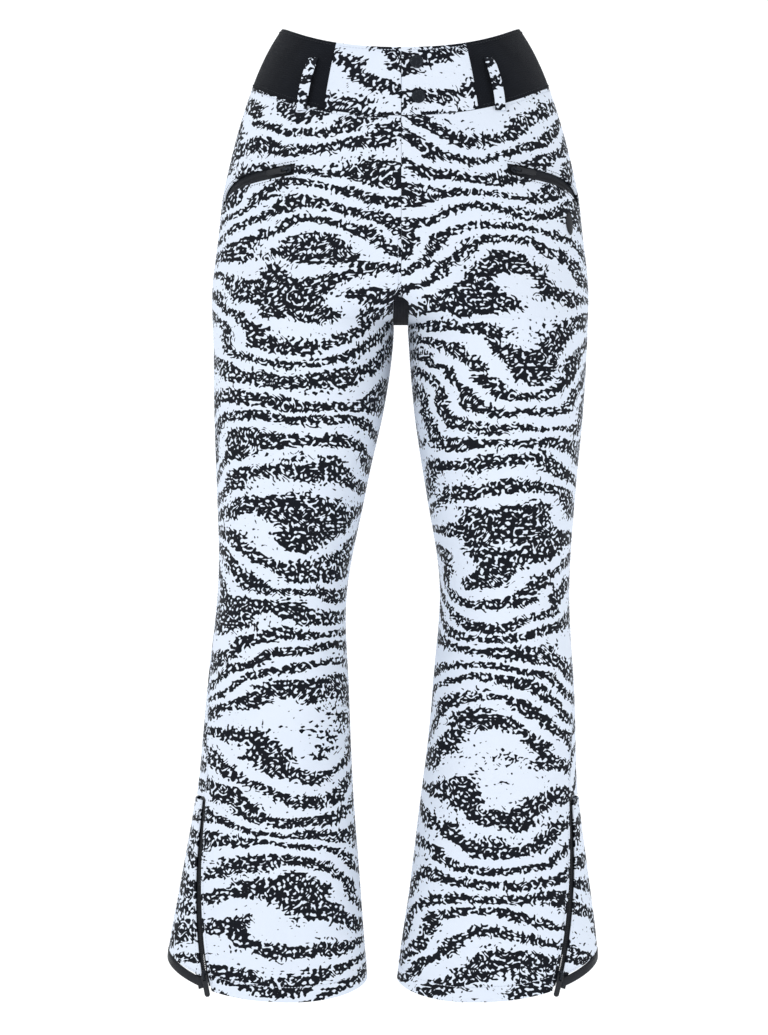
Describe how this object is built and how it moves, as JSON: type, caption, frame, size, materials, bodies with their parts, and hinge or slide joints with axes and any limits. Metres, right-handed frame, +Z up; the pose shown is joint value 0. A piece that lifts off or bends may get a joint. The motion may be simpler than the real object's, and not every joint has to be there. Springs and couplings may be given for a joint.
{
  "type": "ski pants",
  "caption": "High-waisted flared ski pants, worn shape, with a snap and zip closure, zipped hand pockets, stretch side waist, belt loops, leg zips and snow gaiters.",
  "frame": {"origin": "middle of the waist opening, 13 mm above the waist edge at the front and 20 mm below it at the sides", "axes": "+Z up towards the waist, -Y the front of the pants, +X the wearer's left"},
  "size_m": [0.4653, 0.23, 1.0385],
  "materials": {
    "printed_shell": "matte softshell cloth, bluish white with a dark broken stripe print",
    "stretch_cloth": "matte black stretch knit",
    "lining_cloth": "thin dark lining",
    "coated_tape": "coated zip and binding tape",
    "dark_metal": "satin dark coated metal",
    "moulded_trim": "matte moulded trim"
  },
  "bodies": {
    "root": {"front_panel_right": "printed_shell", "waistband_front_right": "printed_shell", "back_panel_right": "printed_shell", "flare_gusset_right": "printed_shell", "hem_binding_right": "coated_tape", "side_waist_panel_right": "stretch_cloth", "belt_loop_front_right": "printed_shell", "belt_loop_rear_right": "printed_shell", "pocket_zip_tape_upper_right": "coated_tape", "pocket_zip_tape_lower_right": "coated_tape", "leg_zip_tape_front_right": "coated_tape", "leg_zip_tape_rear_right": "coated_tape", "pocket_bag_right": "lining_cloth", "snow_gaiter_right": "lining_cloth", "gaiter_cuff_right": "moulded_trim", "front_panel_left": "printed_shell", "waistband_front_left": "printed_shell", "back_panel_left": "printed_shell", "flare_gusset_left": "printed_shell", "hem_binding_left": "coated_tape", "side_waist_panel_left": "stretch_cloth", "belt_loop_front_left": "printed_shell", "belt_loop_rear_left": "printed_shell", "pocket_zip_tape_upper_left": "coated_tape", "pocket_zip_tape_lower_left": "coated_tape", "leg_zip_tape_front_left": "coated_tape", "leg_zip_tape_rear_left": "coated_tape", "pocket_bag_left": "lining_cloth", "snow_gaiter_left": "lining_cloth", "gaiter_cuff_left": "moulded_trim", "crotch_gusset": "stretch_cloth", "waistband_back": "printed_shell", "belt_loop_back": "printed_shell", "waistband_facing": "lining_cloth", "hanger_loop": "lining_cloth", "fly_underlap": "printed_shell", "fly_zip_tape_right": "coated_tape", "snap_stud_upper": "dark_metal", "snap_stud_lower": "dark_metal", "hip_tab": "moulded_trim"},
    "closure": {"fly_cover": "printed_shell", "waistband_tab": "printed_shell", "fly_zip_tape_left": "coated_tape", "snap_cap_upper": "dark_metal", "snap_socket_upper": "dark_metal", "snap_cap_lower": "dark_metal", "snap_socket_lower": "dark_metal"},
    "fly_slider": {"fly_slider": "dark_metal", "fly_pull": "dark_metal"},
    "pocket_slider_right": {"pocket_slider_right": "dark_metal"},
    "pocket_pull_right": {"pocket_pull_right": "moulded_trim"},
    "leg_slider_right": {"leg_slider_right": "dark_metal"},
    "leg_pull_right": {"leg_pull_right": "moulded_trim"},
    "pocket_slider_left": {"pocket_slider_left": "dark_metal"},
    "pocket_pull_left": {"pocket_pull_left": "moulded_trim"},
    "leg_slider_left": {"leg_slider_left": "dark_metal"},
    "leg_pull_left": {"leg_pull_left": "moulded_trim"}
  },
  "joints": [
    {"name": "closure_fold", "type": "hinge", "parent": "root", "child": "closure", "pos_m": [0.006, -0.11327, -0.218], "axis": [0.2473, 0.0839, 0.9653], "range_deg": [0, 110]},
    {"name": "fly_zip", "type": "slide", "parent": "closure", "child": "fly_slider", "axis": [0, -0.057, -0.9984], "range_m": [0, 0.0748]},
    {"name": "pocket_zip_right", "type": "hinge", "parent": "root", "child": "pocket_slider_right", "pos_m": [-0.08844, 0.00567, -0.19291], "axis": [-0.1219, -0.46, -0.8795], "range_deg": [0, 47.15]},
    {"name": "pocket_pull_flip_right", "type": "hinge", "parent": "pocket_slider_right", "child": "pocket_pull_right", "pos_m": [-0.12146, -0.08849, -0.14032], "axis": [-0.0732, 0.1395, 0.9875], "range_deg": [0, 150]},
    {"name": "leg_zip_right", "type": "hinge", "parent": "root", "child": "leg_slider_right", "pos_m": [0.40853, 0.0816, -0.89546], "axis": [-0.1973, 0.9755, -0.0974], "range_deg": [0, 15.65]},
    {"name": "leg_pull_flip_right", "type": "hinge", "parent": "leg_slider_right", "child": "leg_pull_right", "pos_m": [-0.2089, -0.05533, -0.99137], "axis": [-0.9186, 0.3374, -0.2057], "range_deg": [0, 150]},
    {"name": "pocket_zip_left", "type": "hinge", "parent": "root", "child": "pocket_slider_left", "pos_m": [0.08844, 0.00567, -0.19291], "axis": [-0.1219, 0.46, 0.8795], "range_deg": [0, 47.15]},
    {"name": "pocket_pull_flip_left", "type": "hinge", "parent": "pocket_slider_left", "child": "pocket_pull_left", "pos_m": [0.12146, -0.08849, -0.14032], "axis": [-0.0732, -0.1395, -0.9875], "range_deg": [0, 150]},
    {"name": "leg_zip_left", "type": "hinge", "parent": "root", "child": "leg_slider_left", "pos_m": [-0.44599, 0.08638, -0.85941], "axis": [-0.1971, -0.9743, 0.1088], "range_deg": [0, 15.56]},
    {"name": "leg_pull_flip_left", "type": "hinge", "parent": "leg_slider_left", "child": "leg_pull_left", "pos_m": [0.1694, -0.05533, -0.99143], "axis": [-0.9057, -0.3376, 0.2563], "range_deg": [0, 150]}
  ]
}
